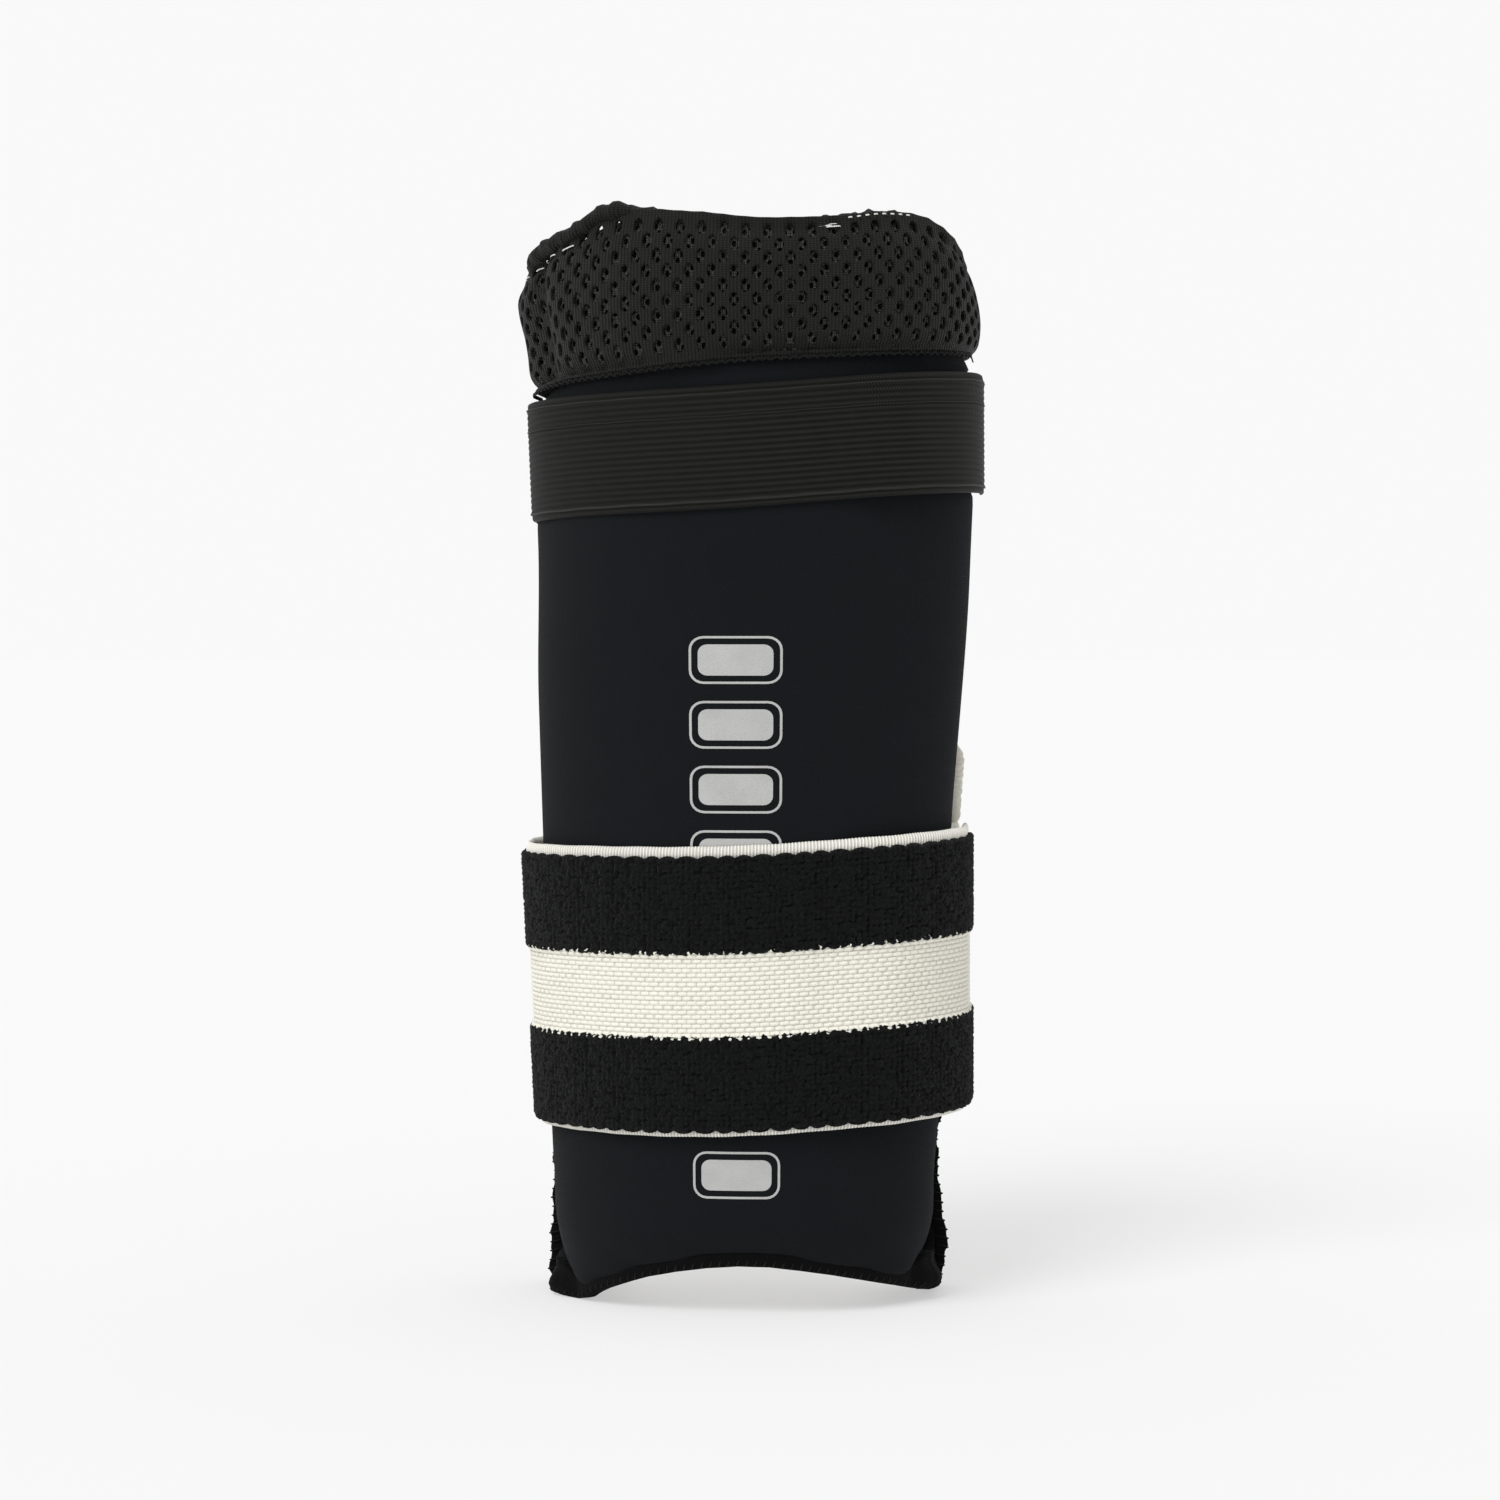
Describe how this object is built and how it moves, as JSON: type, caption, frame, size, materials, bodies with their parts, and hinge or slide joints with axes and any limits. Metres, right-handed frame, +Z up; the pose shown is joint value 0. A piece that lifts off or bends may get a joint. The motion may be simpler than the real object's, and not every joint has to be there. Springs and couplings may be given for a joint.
{
  "type": "padded forearm guard for batting",
  "caption": "Curved padded forearm guard for a batter, with a mesh elbow cap, an elastic strap and a wide towelling wrist band that close with hook and loop.",
  "frame": {"origin": "middle of the footprint, on the surface that the guard's wrist end stands on", "axes": "+Z up along the forearm towards the elbow cap, -Y out of the padded front, +X to the right seen from the front"},
  "size_m": [0.1162, 0.069, 0.2691],
  "materials": {
    "face_cloth": "matte",
    "impact_foam": "matte",
    "soft_foam": "matte",
    "towel_lining": "matte",
    "overlock_edge": "matte",
    "spacer_mesh": "matte",
    "elastic": "matte",
    "towel_band": "matte",
    "loop_patch": "matte",
    "hook_patch": "matte"
  },
  "bodies": {
    "guard": {"face_cover": "face_cloth", "impact_foam": "impact_foam", "comfort_foam": "soft_foam", "towel_lining": "towel_lining", "wrist_edge": "overlock_edge", "left_edge": "overlock_edge", "right_edge": "overlock_edge", "cap_mesh_front": "spacer_mesh", "cap_foam": "soft_foam", "cap_mesh_back": "spacer_mesh", "cap_rim": "spacer_mesh", "cap_seam_tape": "overlock_edge", "elbow_strap_back": "elastic", "elbow_strap_loop_patch": "loop_patch", "wrist_band_back": "towel_band", "wrist_band_loop_patch": "loop_patch"},
    "elbow_strap": {"elbow_strap_front": "elastic"},
    "elbow_tail": {"elbow_strap_tail": "elastic", "elbow_strap_hook_patch": "hook_patch"},
    "wrist_strap": {"wrist_band_front": "towel_band"},
    "wrist_tail": {"wrist_band_tail": "towel_band", "wrist_band_hook_patch": "hook_patch"}
  },
  "joints": [
    {"name": "elbow_strap_open", "type": "hinge", "parent": "guard", "child": "elbow_strap", "pos_m": [-0.05599, -0.0036, 0.209], "axis": [0, 0, -1], "range_deg": [0, 150]},
    {"name": "elbow_tail_peel", "type": "hinge", "parent": "elbow_strap", "child": "elbow_tail", "pos_m": [0.04264, -0.02315, 0.216], "axis": [0, 0, -1], "range_deg": [0, 120]},
    {"name": "wrist_strap_open", "type": "hinge", "parent": "guard", "child": "wrist_strap", "pos_m": [-0.05523, -0.00391, 0.08], "axis": [0, 0, -1], "range_deg": [0, 150]},
    {"name": "wrist_tail_peel", "type": "hinge", "parent": "wrist_strap", "child": "wrist_tail", "pos_m": [0.04093, -0.02258, 0.084], "axis": [0, 0, -1], "range_deg": [0, 120]}
  ]
}
